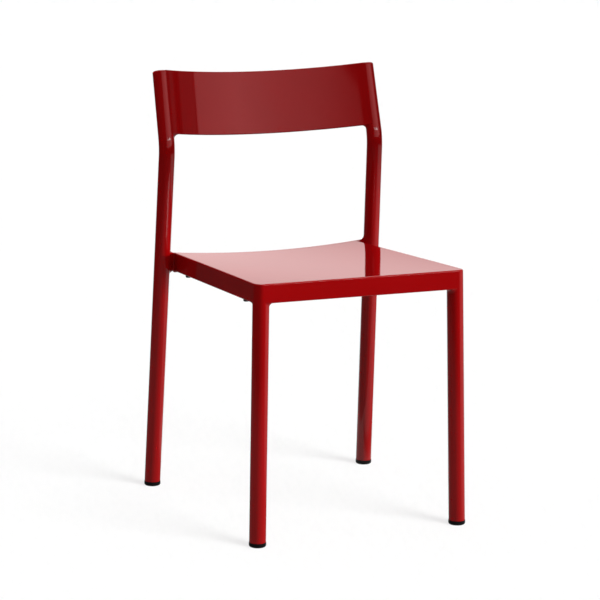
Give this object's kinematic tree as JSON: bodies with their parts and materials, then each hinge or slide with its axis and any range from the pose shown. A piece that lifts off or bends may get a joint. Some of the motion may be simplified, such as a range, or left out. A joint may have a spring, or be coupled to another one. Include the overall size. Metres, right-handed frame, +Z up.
{
  "type": "chair",
  "caption": "Stackable powder-coated metal dining chair: round tube legs, dished sheet seat on box rails, curved sheet backrest and plastic glides.",
  "frame": {"origin": "on the floor, in the middle of the chair's bounding box", "axes": "+Z up, the chair faces -Y, +X towards the right of someone who looks at it from the front"},
  "size_m": [0.479, 0.508, 0.8006],
  "materials": {
    "powder_coat": "glossy smooth red powder coat",
    "black_plastic": "satin black moulded plastic"
  },
  "bodies": {
    "root": {"front_rail": "powder_coat", "rear_rail": "powder_coat", "seat_panel": "powder_coat", "backrest_panel": "powder_coat", "front_leg_left": "powder_coat", "front_leg_right": "powder_coat", "rear_stile_left": "powder_coat", "rear_stile_right": "powder_coat", "stile_cap_left": "powder_coat", "stile_cap_right": "powder_coat", "side_rail_left": "powder_coat", "side_rail_right": "powder_coat", "front_glide_left": "black_plastic", "front_glide_right": "black_plastic", "rear_glide_left": "black_plastic", "rear_glide_right": "black_plastic", "front_bumper_left": "black_plastic", "front_bumper_right": "black_plastic", "rear_bumper_left": "black_plastic", "rear_bumper_right": "black_plastic"}
  },
  "joints": []
}
